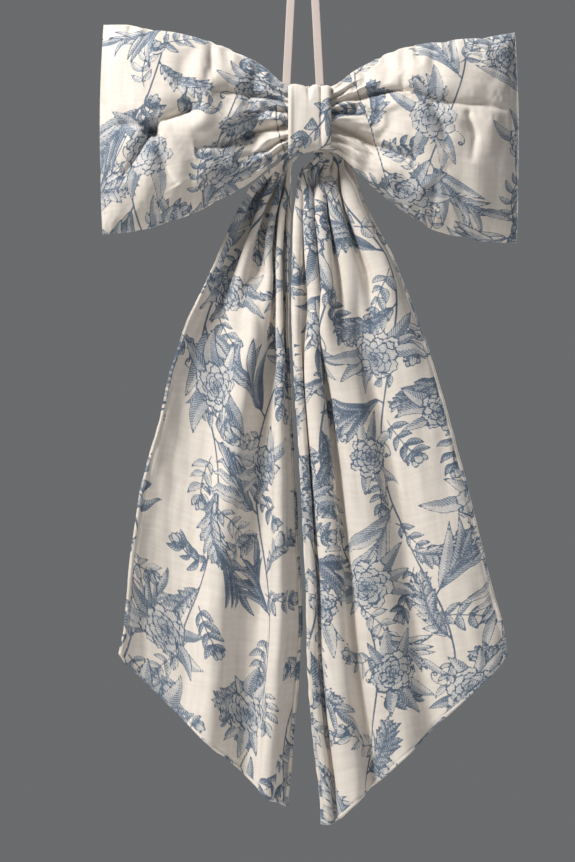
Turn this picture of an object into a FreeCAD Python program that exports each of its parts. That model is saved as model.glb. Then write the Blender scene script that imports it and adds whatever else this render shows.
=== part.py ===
"""Pre-made gift bow in printed linen, hung by a ribbon.

Millimetres, +Z up, and the front of the bow faces -Y. The origin is the inside top of the ribbon's loop, where
it rests on its hook, and the ribbon lies in the plane Y = 0. Each piece is one closed solid, or a group of
separate ones for stitches and thread turns, in its own file.
"""

import math
import os

import FreeCAD
import Part
from FreeCAD import Placement, Rotation, Vector

# Cloth, thread and the room between pieces
CLOTH = 0.8  # one layer of washed linen
THREAD = 0.8  # a doubled sewing thread
FIT = 0.1  # between pieces that lie against each other
RUN = 0.4  # between pieces that move past each other

# Knot band, wrapped round the waist
KNOT_X = 4.9  # its middle, to the right of the ribbon's middle
KNOT_LOW = 126.0  # its middle, below the origin
KNOT_WIDTH = 32.0
KNOT_HEIGHT = 52.0
KNOT_DEPTH = 22.0
KNOT_CORNER = 9.0
BAND_WALL = 1.6  # two layers of cloth
LAP_HEIGHT = 18.0  # the lap of the band's ends, on the back
LAP_RISE = 13.0  # from the knot's middle up to the lap's top

# Bow body: front and back cloth, sewn all round and stuffed
LOOP_REACH = 155.0  # knot's middle to the outer seam
LOOP_DEPTH = 56.0  # front to back where the loop is fullest
LOOP_Y = 0.0  # the seam's plane
LEFT_RISE, LEFT_DROP = 70.0, 83.0  # outer seam above and below the knot's middle
RIGHT_RISE, RIGHT_DROP = 64.0, 90.0
RISE_SHAPE, DROP_SHAPE = 0.6, 0.8  # how soon the edges open from the waist
SEAM = 1.6  # width of the sewn edge
FULLNESS = ((0.2, 0.55), (0.45, 0.88), (0.7, 1.0), (0.88, 0.8), (0.97, 0.42))  # (way out, share of LOOP_DEPTH)
WADDING_FROM, WADDING_TO = 0.2, 0.97  # ways out between which a loop is stuffed

# Hanging ribbon
RIBBON_WIDTH = 6.0
RIBBON_THICK = 0.6
HOOK_RADIUS = 7.3  # inside the top of the loop
TWIST_FROM = 28.0  # below the origin, where the strand starts its quarter turn
RIBBON_LOW = 102.9  # below the origin, where the strands meet the bow
RIBBON_LEFT, RIBBON_RIGHT = -12.6, 12.8  # strand middles there
TAB_GAP = 0.7  # the strand bends in this gap
TAB_LENGTH = 7.5  # the end that is sewn down

# Tails: two layers each, gathered at the top
HEAD_WIDTH, HEAD_DEPTH, HEAD_HEIGHT = 14.0, 13.0, 16.0
HEAD_CORNER = 4.5
HEAD_CLEAR = 1.0  # from the band's closing stitches to the heads
LEFT_PIVOT, RIGHT_PIVOT = -6.0, 16.0  # where the tacks hold the heads, across
TACK_RADIUS = 1.0
TACK_BAR = 7.0
BEND_GAP = 2.6  # between a head and its tail, where the cloth bends
TAIL_SET_BACK = 7.0  # front of a head to the front of the right tail
TAIL_APART = 1.4  # front to back between the right tail and the left one behind it
TAIL_SPACE = 0.8  # between the two tails where they meet
CORNER_DROP = 375.0  # top of a tail to its outer corner
LEFT_TAIL = {"neck": (-16.0, -4.5), "corner": -139.5, "belly": (-99.0, 0.425), "tip": (-13.5, 488.0)}
RIGHT_TAIL = {"neck": (33.0, 11.0), "corner": 154.0, "belly": (94.0, 0.376), "tip": (14.0, 501.0)}
PARTING = ((-6.0, 0.056), (-8.0, 0.363), (2.0, 0.923))  # where the tails meet: across, share of CORNER_DROP

# Stitches and thread turns
STITCH_RADIUS = 0.35
LAP_STITCHES = 7
LAP_STITCH = 2.0  # how far each reaches below the lap
GAP_STITCHES = 12
GAP_FROM, GAP_TO = 0.45, 0.7  # ways out along the left loop's lower seam
WAIST_TURNS = 4
NECK_TURNS = 3

WAIST_HALF = KNOT_HEIGHT / 2 - BAND_WALL - THREAD - 2 * FIT
WAIST_DEPTH = KNOT_DEPTH - 2 * (BAND_WALL + THREAD + 2 * FIT)
BAND_BACK = -(RIBBON_THICK / 2 + RUN)
BAND_MIDDLE = BAND_BACK - KNOT_DEPTH / 2
HEAD_FRONT = BAND_BACK + THREAD + RUN
HEAD_TOP = -KNOT_LOW + LAP_RISE - LAP_HEIGHT - 2 * STITCH_RADIUS - LAP_STITCH - HEAD_CLEAR
HEAD_LOW = HEAD_TOP - HEAD_HEIGHT
PIVOT_Z = HEAD_TOP - 0.4 * HEAD_HEIGHT
TAIL_TOP = HEAD_LOW - BEND_GAP
RIGHT_TAIL_Y = HEAD_FRONT + TAIL_SET_BACK
LEFT_TAIL_Y = RIGHT_TAIL_Y + 2 * CLOTH + FIT + TAIL_APART


def section(x, start, steps):
    """A closed wire across the bow at x, in Y and Z: (through, end) is an arc, or a line where through is None."""
    edges, last = [], Vector(x, *start)
    for through, end in steps:
        end = Vector(x, *end)
        if through is None:
            edges.append(Part.LineSegment(last, end).toShape())
        else:
            edges.append(Part.Arc(last, Vector(x, *through), end).toShape())
        last = end
    return Part.Wire(edges)


def lens(x, middle_y, top, low, half):
    """The outline of a stuffed or pinched section: two arcs that meet at its edges."""
    mid = (top + low) / 2
    steps = [((middle_y - half, mid), (middle_y, low)), ((middle_y + half, mid), (middle_y, top))]
    return section(x, (middle_y, top), steps)


def crescent(x, facing, middle_y, top, low, half):
    """The section of one panel: an outer and an inner arc, joined across the seam."""
    mid = (top + low) / 2
    steps = [
        ((middle_y + facing * half, mid), (middle_y, low)),
        (None, (middle_y, low + SEAM)),
        ((middle_y + facing * (half - CLOTH), mid), (middle_y, top - SEAM)),
        (None, (middle_y, top)),
    ]
    return section(x, (middle_y, top), steps)


def station(side, way, half):
    """(x, middle y, top, low, half depth) of a loop's section, a share of the way out from the waist."""
    rise, drop = (LEFT_RISE, LEFT_DROP) if side < 0 else (RIGHT_RISE, RIGHT_DROP)
    opening = math.sin(math.pi / 2 * way)
    x = KNOT_X + side * (KNOT_WIDTH / 2 + way * (LOOP_REACH - KNOT_WIDTH / 2))
    top = -KNOT_LOW + WAIST_HALF + (rise - WAIST_HALF) * opening**RISE_SHAPE
    low = -KNOT_LOW - WAIST_HALF - (drop - WAIST_HALF) * opening**DROP_SHAPE
    middle_y = BAND_MIDDLE + (LOOP_Y - BAND_MIDDLE) * opening**RISE_SHAPE
    return x, middle_y, top, low, half


def loop_stations(side):
    """A loop's sections from the waist to the outer seam."""
    stations = [station(side, 0.0, WAIST_DEPTH / 2)]
    stations += [station(side, way, LOOP_DEPTH / 2 * share) for way, share in FULLNESS]
    return stations + [station(side, 1.0, 1.5 * CLOTH)]


def bow_panel(facing):
    """Front (-1) or back (+1) cloth of the bow body, from the left seam through the waist to the right seam."""
    stations = loop_stations(-1)[::-1] + loop_stations(1)
    return Part.makeLoft([crescent(x, facing, *rest) for x, *rest in stations], True, True)


def wadding(side):
    """The stuffing of one loop, a little inside its two panels."""
    wires = []
    for way, share in FULLNESS:
        if not WADDING_FROM <= way <= WADDING_TO:
            continue
        x, middle_y, top, low, half = station(side, way, LOOP_DEPTH / 2 * share)
        edge = SEAM + FIT
        wires.append(lens(x, middle_y, top - edge, low + edge, half - CLOTH - FIT))
    return Part.makeLoft(wires, True, True)


def rounded(low, high, corner, axis):
    """A box between two corners, with the four edges along one axis rounded."""
    size = high - low
    box = Part.makeBox(size.x, size.y, size.z, low)
    along = [e for e in box.Edges if abs(e.tangentAt(e.FirstParameter).dot(axis)) > 0.5]
    return box.makeFillet(corner, along)


def knot_block(inset, half_width):
    """The knot's rounded block, drawn in by inset, across half_width each way."""
    low = Vector(KNOT_X - half_width, BAND_MIDDLE - KNOT_DEPTH / 2 + inset, -KNOT_LOW - KNOT_HEIGHT / 2 + inset)
    high = Vector(KNOT_X + half_width, BAND_MIDDLE + KNOT_DEPTH / 2 - inset, -KNOT_LOW + KNOT_HEIGHT / 2 - inset)
    return rounded(low, high, KNOT_CORNER - inset, Vector(1, 0, 0))


def knot_band():
    """The strip wrapped round the waist, with its ends lapped on the back."""
    band = knot_block(0.0, KNOT_WIDTH / 2).cut(knot_block(BAND_WALL, KNOT_WIDTH))
    lap_low = Vector(KNOT_X - KNOT_WIDTH / 2, BAND_BACK, -KNOT_LOW + LAP_RISE - LAP_HEIGHT)
    lap = Part.makeBox(KNOT_WIDTH, BAND_WALL, LAP_HEIGHT, lap_low)
    return band.fuse(lap).removeSplitter()


def waist_thread():
    """Turns of thread round the pinched waist."""
    top, low = -KNOT_LOW + WAIST_HALF, -KNOT_LOW - WAIST_HALF
    turns = []
    for i in range(WAIST_TURNS):
        x = KNOT_X + (i - WAIST_TURNS / 2) * 1.5 * THREAD
        outer = Part.Face(lens(x, BAND_MIDDLE, top + THREAD, low - THREAD, WAIST_DEPTH / 2 + THREAD))
        inner = Part.Face(lens(x, BAND_MIDDLE, top + FIT, low - FIT, WAIST_DEPTH / 2 + FIT))
        turns.append(outer.cut(inner).extrude(Vector(THREAD, 0, 0)))
    return Part.makeCompound(turns)


def stitch(start, end, radius=STITCH_RADIUS):
    """One straight stitch between two points."""
    return Part.makeCylinder(radius, (end - start).Length, start, end - start)


def lap_stitches():
    """Slanted stitches under the lap's free edge, on the back of the band."""
    edge = -KNOT_LOW + LAP_RISE - LAP_HEIGHT - STITCH_RADIUS
    y = BAND_BACK + STITCH_RADIUS
    pitch = KNOT_WIDTH / (LAP_STITCHES + 1)
    stitches = []
    for i in range(LAP_STITCHES):
        x = KNOT_X - KNOT_WIDTH / 2 + (i + 1) * pitch
        stitches.append(stitch(Vector(x, y, edge), Vector(x + pitch / 4, y, edge - LAP_STITCH)))
    return Part.makeCompound(stitches)


def gap_stitches():
    """Stitches along the left loop's lower seam, over the gap it was turned through."""
    ends = [station(-1, way, 0.0) for way in (GAP_FROM, GAP_TO)]
    start, end = [Vector(x, y, low - STITCH_RADIUS - FIT) for x, y, _, low, _ in ends]
    run = (end - start) * (1.0 / GAP_STITCHES)
    return Part.makeCompound([stitch(start + run * i, start + run * (i + 0.7)) for i in range(GAP_STITCHES)])


def ribbon_wire(x, z, turn):
    """The ribbon's section at a height, turned about Z by an angle in degrees."""
    half, thin = RIBBON_WIDTH / 2, RIBBON_THICK / 2
    corners = [Vector(-half, -thin, 0), Vector(half, -thin, 0), Vector(half, thin, 0), Vector(-half, thin, 0)]
    wire = Part.makePolygon(corners + corners[:1])
    wire.Placement = Placement(Vector(x, 0, z), Rotation(Vector(0, 0, 1), turn))
    return wire


def hanging_ribbon():
    """Both strands, each with a quarter turn, and the half ring over the hook."""
    mean = HOOK_RADIUS + RIBBON_THICK / 2
    pieces = []
    for side, foot in ((-1, RIBBON_LEFT), (1, RIBBON_RIGHT)):
        top_x = side * mean
        slope = (foot - top_x) / (RIBBON_LOW - HOOK_RADIUS)
        twist_x = top_x + slope * (TWIST_FROM - HOOK_RADIUS)
        low, high = ribbon_wire(foot, -RIBBON_LOW, 0), ribbon_wire(twist_x, -TWIST_FROM, 0)
        pieces.append(Part.makeLoft([low, high], True, True))
        turns = []
        for i in range(4):
            depth = TWIST_FROM + (HOOK_RADIUS - TWIST_FROM) * i / 3
            turns.append(ribbon_wire(top_x + slope * (depth - HOOK_RADIUS), -depth, 30 * i))
        pieces.append(Part.makeLoft(turns, True, True))
    base = Part.Face(ribbon_wire(mean, -HOOK_RADIUS, 90))
    pieces.append(base.revolve(Vector(0, 0, -HOOK_RADIUS), Vector(0, -1, 0), 180))
    return pieces[0].fuse(pieces[1:])


def ribbon_ends():
    """The two ends of the ribbon below the bend, sewn to the back of the waist."""
    top = -RIBBON_LOW - TAB_GAP
    tabs = []
    for foot in (RIBBON_LEFT, RIBBON_RIGHT):
        low = Vector(foot - RIBBON_WIDTH / 2, -RIBBON_THICK / 2, top - TAB_LENGTH)
        tabs.append(Part.makeBox(RIBBON_WIDTH, RIBBON_THICK, TAB_LENGTH, low))
    return Part.makeCompound(tabs)


def ribbon_tacks():
    """Two bars of thread across each sewn ribbon end."""
    y = RIBBON_THICK / 2 + STITCH_RADIUS
    half = RIBBON_WIDTH / 2 - 0.5
    bars = []
    for foot in (RIBBON_LEFT, RIBBON_RIGHT):
        for share in (0.3, 0.7):
            z = -RIBBON_LOW - TAB_GAP - share * TAB_LENGTH
            bars.append(stitch(Vector(foot - half, y, z), Vector(foot + half, y, z)))
    return Part.makeCompound(bars)


def head_block(pivot, grow, low, high):
    """A tail's gathered top, grown by a thread's thickness where one goes round it."""
    corner = Vector(pivot - HEAD_WIDTH / 2 - grow, HEAD_FRONT - grow, low)
    far = Vector(pivot + HEAD_WIDTH / 2 + grow, HEAD_FRONT + HEAD_DEPTH + grow, high)
    return rounded(corner, far, HEAD_CORNER + grow, Vector(0, 0, 1))


def tail_head(pivot):
    """Both layers of a tail bunched together, with the way through for its tack."""
    head = head_block(pivot, 0.0, HEAD_LOW, HEAD_TOP)
    way = stitch(Vector(pivot, -HEAD_DEPTH, PIVOT_Z), Vector(pivot, 2 * HEAD_DEPTH, PIVOT_Z), TACK_RADIUS + RUN)
    return head.cut(way)


def neck_thread(pivot):
    """Turns of thread round a gathered top, below its tack."""
    turns = []
    for i in range(NECK_TURNS):
        low = HEAD_LOW + (1 + 1.5 * i) * THREAD
        outer = head_block(pivot, THREAD, low, low + THREAD)
        turns.append(outer.cut(head_block(pivot, 0.0, low - THREAD, low + 2 * THREAD)))
    return Part.makeCompound(turns)


def tail_tacks():
    """The tacks from the back of the knot through each gathered top, each ending in a bar."""
    tacks = []
    for pivot in (LEFT_PIVOT, RIGHT_PIVOT):
        bar_y = HEAD_FRONT + HEAD_DEPTH + RUN + TACK_RADIUS
        shank = stitch(Vector(pivot, BAND_BACK, PIVOT_Z), Vector(pivot, bar_y, PIVOT_Z), TACK_RADIUS)
        low, high = Vector(pivot, bar_y, PIVOT_Z - TACK_BAR / 2), Vector(pivot, bar_y, PIVOT_Z + TACK_BAR / 2)
        tacks.append(shank.fuse(stitch(low, high, TACK_RADIUS)))
    return Part.makeCompound(tacks)


def tail_layer(tail, side, front):
    """One layer of a tail: its top, the curved outer edge, the slanted end and the edge by the other tail."""

    def at(x, drop):
        return Vector(x, front, TAIL_TOP - drop)

    outer, inner = at(tail["neck"][0], 0.0), at(tail["neck"][1], 0.0)
    corner, tip = at(tail["corner"], CORNER_DROP), at(*tail["tip"])
    belly = at(tail["belly"][0], tail["belly"][1] * CORNER_DROP)
    parting = [at(x + side * TAIL_SPACE / 2, share * CORNER_DROP) for x, share in PARTING]
    edges = [
        Part.LineSegment(inner, outer),
        Part.Arc(outer, belly, corner),
        Part.LineSegment(corner, tip),
        Part.LineSegment(tip, parting[2]),
        Part.Arc(parting[2], parting[1], parting[0]),
        Part.LineSegment(parting[0], inner),
    ]
    face = Part.Face(Part.Wire([edge.toShape() for edge in edges]))
    return face.extrude(Vector(0, CLOTH, 0))


def pieces():
    """Every piece by its node's name."""
    made = {
        "hanging_ribbon": hanging_ribbon(),
        "bow_front_panel": bow_panel(-1),
        "bow_back_panel": bow_panel(1),
        "left_loop_wadding": wadding(-1),
        "right_loop_wadding": wadding(1),
        "waist_gather_thread": waist_thread(),
        "knot_band": knot_band(),
        "band_closing_stitches": lap_stitches(),
        "turning_gap_stitches": gap_stitches(),
        "ribbon_ends": ribbon_ends(),
        "ribbon_tack_stitches": ribbon_tacks(),
        "tail_tack_stitches": tail_tacks(),
    }
    sides = (("left", -1, LEFT_PIVOT, LEFT_TAIL, LEFT_TAIL_Y), ("right", 1, RIGHT_PIVOT, RIGHT_TAIL, RIGHT_TAIL_Y))
    for name, side, pivot, tail, front in sides:
        made[f"{name}_tail_head"] = tail_head(pivot)
        made[f"{name}_tail_gather_thread"] = neck_thread(pivot)
        made[f"{name}_tail_front"] = tail_layer(tail, side, front)
        made[f"{name}_tail_back"] = tail_layer(tail, side, front + CLOTH + FIT)
    return made


os.makedirs("parts", exist_ok=True)
for node, shape in pieces().items():
    shape.exportStep(f"parts/{node}.step")
    print(f"{node}: {len(shape.Solids)} solids, {shape.Volume:.1f} mm3, valid {shape.isValid()}")
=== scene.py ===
"""Looks for a ready-made linen gift bow: cords first, then the tails, the bow body, the knot and the thread."""

import math

import bpy
import numpy as np
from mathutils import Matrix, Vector


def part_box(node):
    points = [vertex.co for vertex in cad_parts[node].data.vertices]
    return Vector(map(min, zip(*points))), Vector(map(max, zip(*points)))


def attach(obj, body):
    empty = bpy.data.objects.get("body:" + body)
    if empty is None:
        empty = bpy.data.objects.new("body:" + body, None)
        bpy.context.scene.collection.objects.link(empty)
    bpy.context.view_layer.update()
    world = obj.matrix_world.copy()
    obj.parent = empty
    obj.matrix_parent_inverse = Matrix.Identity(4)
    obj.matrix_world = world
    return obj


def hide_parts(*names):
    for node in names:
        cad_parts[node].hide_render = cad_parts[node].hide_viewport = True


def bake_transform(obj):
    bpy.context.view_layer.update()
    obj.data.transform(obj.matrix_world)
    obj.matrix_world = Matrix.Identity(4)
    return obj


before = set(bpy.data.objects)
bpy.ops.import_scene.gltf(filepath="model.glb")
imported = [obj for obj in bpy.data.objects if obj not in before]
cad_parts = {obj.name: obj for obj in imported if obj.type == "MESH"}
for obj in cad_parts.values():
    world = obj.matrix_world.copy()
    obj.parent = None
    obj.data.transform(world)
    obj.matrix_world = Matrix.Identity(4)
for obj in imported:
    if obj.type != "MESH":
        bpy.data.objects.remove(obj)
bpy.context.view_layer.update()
MM = 0.001
TAU = 2 * math.pi


# ---------------------------------------------------------------- small tools


def smooth(low, high, value):
    """0 below low, 1 above high, and an easy curve between."""
    t = np.clip((value - low) / (high - low), 0.0, 1.0)
    return t * t * (3 - 2 * t)


def curve_through(points, at, blur=0):
    """Second value of a list of (first, second) at given firsts, with its corners eased over blur samples."""
    points = sorted(points)
    values = np.interp(at, [p[0] for p in points], [p[1] for p in points])
    if blur:
        kernel = np.hanning(2 * blur + 3)
        padded = np.pad(values, blur + 1, mode="reflect", reflect_type="odd")
        values = np.convolve(padded, kernel / kernel.sum(), mode="valid")
    return values


def ripples(a, b, seed, waves, shortest, longest, stretch=1.0):
    """Gentle seeded undulation of a cloth at flat places (a, b) in millimetres, about -1 to 1."""
    rng = np.random.default_rng(seed)
    total = np.zeros_like(a)
    for _ in range(waves):
        length = rng.uniform(shortest, longest)
        angle = rng.normal(0.0, 0.5)
        phase = rng.uniform(0, TAU)
        across = a * math.cos(angle) + b * math.sin(angle) / stretch
        total += np.sin(TAU * across / length + phase)
    return total / math.sqrt(waves)


def ridge(value, at, width):
    """1 at one place, falling off smoothly to 0 over a few widths each side."""
    return np.exp(-(((value - at) / width) ** 2))


def rounded(value, power):
    """A sine or cosine squared off by a power below 1."""
    return np.sign(value) * np.abs(value) ** power


def normals_of(grid):
    """Unit normals of a grid of points, by its two directions."""
    du = np.gradient(grid, axis=1)
    dv = np.gradient(grid, axis=0)
    normal = np.cross(du, dv)
    return normal / np.maximum(np.linalg.norm(normal, axis=2, keepdims=True), 1e-12)


def mesh_object(name, points, faces, cloth=None, material=None):
    """A shaded-smooth mesh with its flat cloth places, in millimetres, as the UV map and the print's values."""
    mesh = bpy.data.meshes.new(name)
    points = np.asarray(points, float)
    counts = np.array([len(f) for f in faces], np.int32)
    loops = np.concatenate([np.asarray(f, np.int32) for f in faces])
    mesh.vertices.add(len(points))
    mesh.vertices.foreach_set("co", (points * MM).astype(np.float32).ravel())
    mesh.loops.add(len(loops))
    mesh.loops.foreach_set("vertex_index", loops)
    mesh.polygons.add(len(faces))
    starts = np.concatenate([[0], np.cumsum(counts)[:-1]]).astype(np.int32)
    mesh.polygons.foreach_set("loop_start", starts)
    mesh.polygons.foreach_set("use_smooth", np.ones(len(faces), bool))
    mesh.update(calc_edges=True)
    if cloth is not None:
        uv = mesh.uv_layers.new(name="Cloth")
        uv.data.foreach_set("uv", (cloth[loops] * MM).astype(np.float32).ravel())
        ink = mesh.attributes.new("Ink", "FLOAT_COLOR", "POINT")
        ink.data.foreach_set("color", bolt.values(cloth[:, 0], cloth[:, 1]).astype(np.float32).ravel())
    if material is not None:
        mesh.materials.append(material)
    mesh.validate()
    obj = bpy.data.objects.new(name, mesh)
    bpy.context.scene.collection.objects.link(obj)
    return obj


def grid_faces(index, flip=False):
    """Faces of a grid of point numbers."""
    a, b, c, d = index[:-1, :-1], index[:-1, 1:], index[1:, 1:], index[1:, :-1]
    order = (a, d, c, b) if flip else (a, b, c, d)
    return np.stack([corner.ravel() for corner in order], axis=1).tolist()


def cloth_slab(name, grid, flat, thick, material, outward):
    """A closed cloth of a fine outer face and a coarser inner one, half as many points each way, met round
    the rim. outward is 1 where the grid's own normals leave the cloth's outer face, or -1."""
    inner = (grid - normals_of(grid) * outward * thick)[::2, ::2]
    points = np.concatenate([grid.reshape(-1, 3), inner.reshape(-1, 3)])
    cloth = np.concatenate([flat.reshape(-1, 2), flat[::2, ::2].reshape(-1, 2)])
    flip = outward < 0
    fine = np.arange(grid[..., 0].size).reshape(grid.shape[:2])
    coarse = np.arange(inner[..., 0].size).reshape(inner.shape[:2]) + fine.size
    faces = grid_faces(fine, flip) + grid_faces(coarse, not flip)
    rims = (
        (fine[0, :], coarse[0, :], True),
        (fine[-1, :], coarse[-1, :], False),
        (fine[:, 0], coarse[:, 0], False),
        (fine[:, -1], coarse[:, -1], True),
    )
    for outer_edge, inner_edge, turn in rims:
        for i in range(len(inner_edge) - 1):
            a, mid, b = outer_edge[2 * i : 2 * i + 3]
            c, d = inner_edge[i : i + 2]
            for face in ((a, c, mid), (mid, c, d), (mid, d, b)):
                faces.append(list(face if turn == (not flip) else face[::-1]))
    return mesh_object(name, points, faces, cloth, material)


# ---------------------------------------------------------------- the print's drawing


FARTHEST = 6.0  # no distance from a shape is stored beyond this


def along_across(px, py, x, y, angle):
    """Places measured along a heading from (x, y), and across it."""
    dx, dy = px - x, py - y
    return dx * math.cos(angle) + dy * math.sin(angle), -dx * math.sin(angle) + dy * math.cos(angle)


class Drawing:
    """Floral engraving on flat cloth, drawn shape over shape. Each shape gives every place near it a signed
    distance to its edge (negative inside), a tone from 0 (pale) to 1 (dark), and a hatch phase."""

    def __init__(self):
        self.shapes = []

    def add(self, x, y, reach, rule):
        self.shapes.append((x, y, reach, rule))

    def add_along(self, x, y, angle, length, reach, rule):
        self.add(x + math.cos(angle) * length / 2, y + math.sin(angle) * length / 2, reach, rule)

    def leaf(self, x, y, angle, length, width, bend=0.0, tone=0.5, teeth=0.0):
        """A lance-shaped leaf with a midrib and slanted veins."""

        def rule(px, py):
            along, across = along_across(px, py, x, y, angle)
            t = np.clip(along / length, 0, 1)
            off = across - bend * length * 4 * t * (1 - t)
            half = width / 2 * np.sin(math.pi * t**0.75) ** 0.85
            if teeth:
                half *= 1 - teeth * np.abs(((along / (0.11 * length)) % 1) - 0.5)
            inside = np.abs(off) - half
            edge = np.maximum(inside, np.maximum(-along, along - length))
            rib = np.abs(off) + 0.25
            shade = tone + np.where(off > 0, 0.2, -0.14) + 0.3 * (0.4 - t)
            line = np.minimum(np.abs(edge), np.where(edge < 0, rib, 9.0))
            return edge, line, shade, along * 3.1 - np.abs(off) * 3.6

        self.add_along(x, y, angle, length, length * 0.62 + width, rule)

    def petal(self, x, y, angle, length, width, tone=0.35):
        """A rounded petal from its base, dark at the base and pale at the rim."""

        def rule(px, py):
            along, across = along_across(px, py, x, y, angle)
            a = (along - length * 0.55) / (length * 0.5)
            b = across / (width * 0.5)
            wave = 1 + 0.06 * np.cos(9 * np.arctan2(b, a))
            r = np.sqrt(a * a + b * b)
            edge = (r - wave) * min(length, width) * 0.5
            shade = tone + 0.75 * np.clip(0.7 - along / length, 0, 1)
            return edge, np.abs(edge), shade, across * 4.4

        self.add_along(x, y, angle, length, max(length, width) * 0.75 + 1, rule)

    def disc(self, x, y, radius, tone=0.7):
        """A seed head, berry or bud."""

        def rule(px, py):
            r = np.hypot(px - x, py - y)
            return r - radius, np.abs(r - radius), tone + 0.25 * np.cos(r * 3.0), (px - x) * 3.5

        self.add(x, y, radius + 3, rule)

    def stem(self, points, half=0.55, tone=0.75):
        """A thin stalk through points."""
        points = np.asarray(points, float)
        for (ax, ay), (bx, by) in zip(points[:-1], points[1:]):

            def rule(px, py, ax=ax, ay=ay, bx=bx, by=by):
                dx, dy = bx - ax, by - ay
                t = np.clip(((px - ax) * dx + (py - ay) * dy) / (dx * dx + dy * dy + 1e-9), 0, 1)
                r = np.hypot(px - ax - t * dx, py - ay - t * dy) - half
                return r, np.full_like(r, 9.0), np.full_like(r, tone), np.zeros_like(r)

            self.add((ax + bx) / 2, (ay + by) / 2, math.hypot(bx - ax, by - ay) / 2 + half + 3, rule)

    def values(self, px, py):
        """Signed distance, distance to the nearest drawn line, tone and hatch phase at each place."""
        order = np.argsort(px, kind="stable")
        sx, sy = px[order], py[order]
        out = np.zeros((len(px), 4))
        out[:, :2] = FARTHEST
        low, high = sy.min(), sy.max()
        for x, y, reach, rule in self.shapes:
            if y + reach < low or y - reach > high:
                continue
            first, last = np.searchsorted(sx, (x - reach, x + reach))
            near = first + np.nonzero(np.abs(sy[first:last] - y) < reach)[0]
            if not len(near):
                continue
            edge, line, tone, phase = rule(sx[near], sy[near])
            old = out[near]
            fresh = np.stack([np.minimum(edge, old[:, 0]), line, tone, phase], axis=1)
            kept = old.copy()
            kept[:, 1] = np.minimum(old[:, 1], np.abs(edge))
            kept[:, 0] = np.minimum(old[:, 0], edge)
            closer = (edge > 0) & (old[:, 0] > 0) & (edge < old[:, 0])
            kept[closer, 2:] = fresh[closer, 2:]
            out[near] = np.where((edge < 0)[:, None], fresh, kept)
        out[:, 0] = np.clip(out[:, 0], -FARTHEST, FARTHEST)
        out[:, 1] = np.clip(out[:, 1], 0, FARTHEST)
        values = np.empty_like(out)
        values[order] = out
        return values


def bent_path(x, y, angle, length, turn, steps=10):
    """Points and headings along a stalk that turns steadily."""
    points, heading = [(x, y)], [angle]
    for _ in range(steps):
        angle += turn / steps
        x += math.cos(angle) * length / steps
        y += math.sin(angle) * length / steps
        points.append((x, y))
        heading.append(angle)
    return points, heading


def draw_frond(art, rng, x, y, angle, size):
    """A fan of long leaves on a bending stalk."""
    points, heading = bent_path(x, y, angle, size, rng.uniform(-0.9, 0.9))
    base = rng.choice((0.08, 0.3, 0.5))
    for i in range(4):
        k = 1 + 2 * i
        length = size * (0.86 - 0.13 * i) * rng.uniform(0.85, 1.1)
        for side in (-1, 1):
            spread = side * rng.uniform(0.28, 0.62)
            bend = -side * rng.uniform(0.03, 0.16)
            wide = length * rng.uniform(0.16, 0.21)
            art.leaf(*points[k], heading[k] + spread, length, wide, bend, base + rng.uniform(-0.1, 0.2))
    art.stem(points)
    art.leaf(*points[-2], heading[-1], size * 0.5, size * 0.11, 0.05, base + 0.1)


def draw_plume(art, rng, x, y, angle, size):
    """A drooping plume of short toothed leaves, close together."""
    points, heading = bent_path(x, y, angle, size, rng.choice((-1, 1)) * rng.uniform(0.5, 1.2), 12)
    base = rng.choice((0.15, 0.4))
    for k in range(12, 0, -1):
        length = size * (0.3 * math.sin(math.pi * (k / 14) ** 0.8) + 0.1) * rng.uniform(0.85, 1.15)
        for side in (-1, 1):
            turn = heading[k] + side * rng.uniform(0.42, 0.7)
            tone = base + (0.25 if side > 0 else 0.0) + rng.uniform(-0.08, 0.08)
            art.leaf(*points[k], turn, length, length * 0.42, -side * 0.1, tone, 0.35)
    art.stem(points, 0.5, 0.85)
    art.leaf(*points[-1], heading[-1], size * 0.22, size * 0.09, 0.0, base, 0.3)


def draw_sprig(art, rng, x, y, angle, size):
    """A thin stalk with paired small leaves and a bud at its tip."""
    points, heading = bent_path(x, y, angle, size, rng.uniform(-1.3, 1.3), 12)
    art.stem(points, 0.35, 0.7)
    base = rng.choice((0.1, 0.4, 0.6))
    for k in range(2, 12, 3):
        for side in (-1, 1):
            length = rng.uniform(9.0, 14.0)
            angle = heading[k] + side * rng.uniform(0.6, 1.0)
            art.leaf(*points[k], angle, length, length * 0.4, side * 0.08, base)
    draw_bud(art, rng, *points[-1], heading[-1])


def draw_bud(art, rng, x, y, angle):
    """A half-open bud with its two sepals."""
    for lean, tone in ((0.45, 0.2), (-0.45, 0.35), (0.0, 0.1)):
        art.petal(x, y, angle + lean, rng.uniform(8.0, 10.0), 5.0, tone)
    for lean in (-0.8, 0.8):
        art.leaf(x, y, angle + lean, 6.0, 2.0, 0.05, 0.6)
    art.disc(x, y, 1.3, 0.8)


# A bloom's rings of petals from the outside in: how many, how long and wide against its size, and their tone.
FLOWER_RINGS = (
    (9, 0.64, 0.42, 0.02),
    (8, 0.54, 0.38, 0.1),
    (7, 0.42, 0.33, 0.16),
    (6, 0.3, 0.26, 0.26),
    (4, 0.18, 0.18, 0.4),
)


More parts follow.
